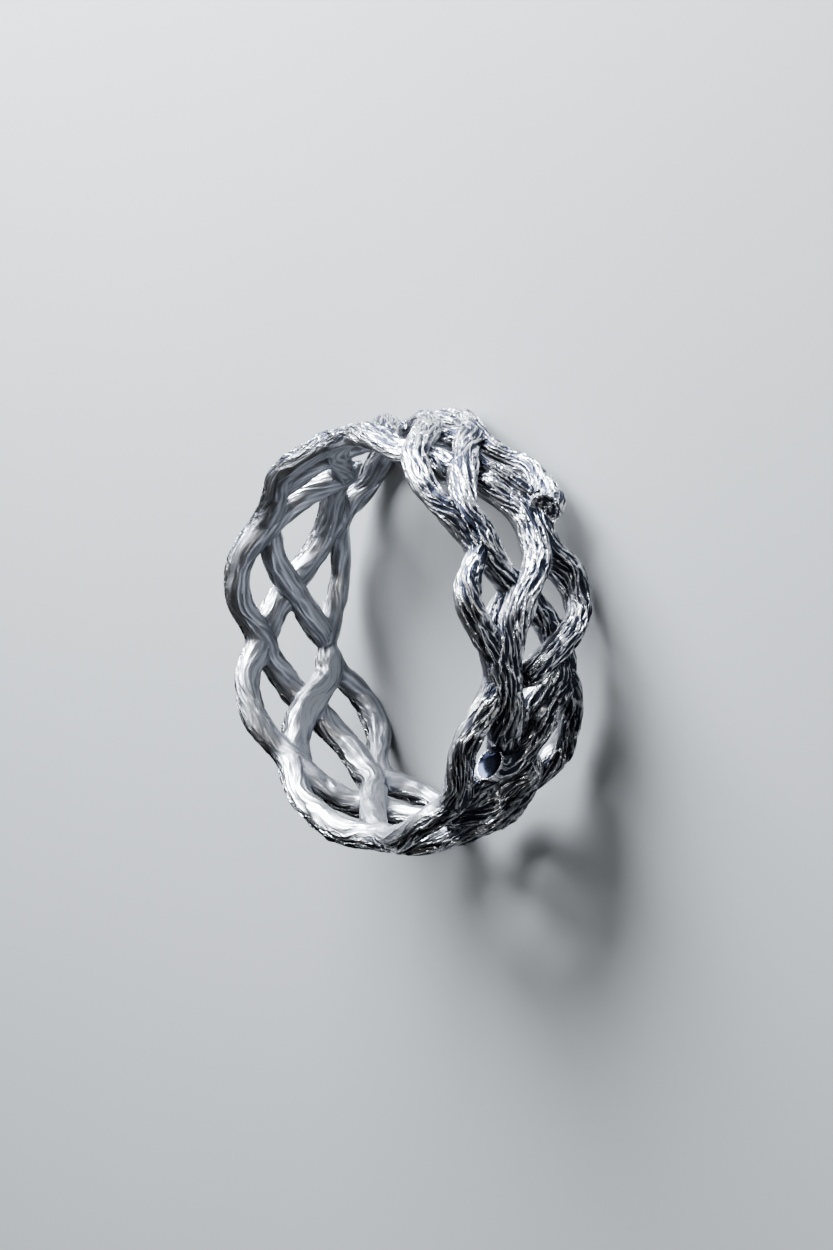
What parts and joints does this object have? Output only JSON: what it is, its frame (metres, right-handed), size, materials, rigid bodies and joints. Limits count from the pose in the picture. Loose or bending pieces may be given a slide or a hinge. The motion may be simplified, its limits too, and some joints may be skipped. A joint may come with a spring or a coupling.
{
  "type": "braided band ring",
  "caption": "Openwork finger ring of bark-textured twigs that braid round the band, cast as one solid in blackened silver.",
  "frame": {"origin": "on the surface that the ring lies on, below the middle of the finger hole", "axes": "+Z along the finger hole, up from the rim that the ring lies on to the other rim; +X to the arch where two twigs fork beside a cut stub"},
  "size_m": [0.0212, 0.0218, 0.0081],
  "materials": {
    "blackened_silver": "cast silver, blackened in the bark's grooves and polished on its ridges"
  },
  "bodies": {
    "root": {"braided_band": "blackened_silver"}
  },
  "joints": []
}
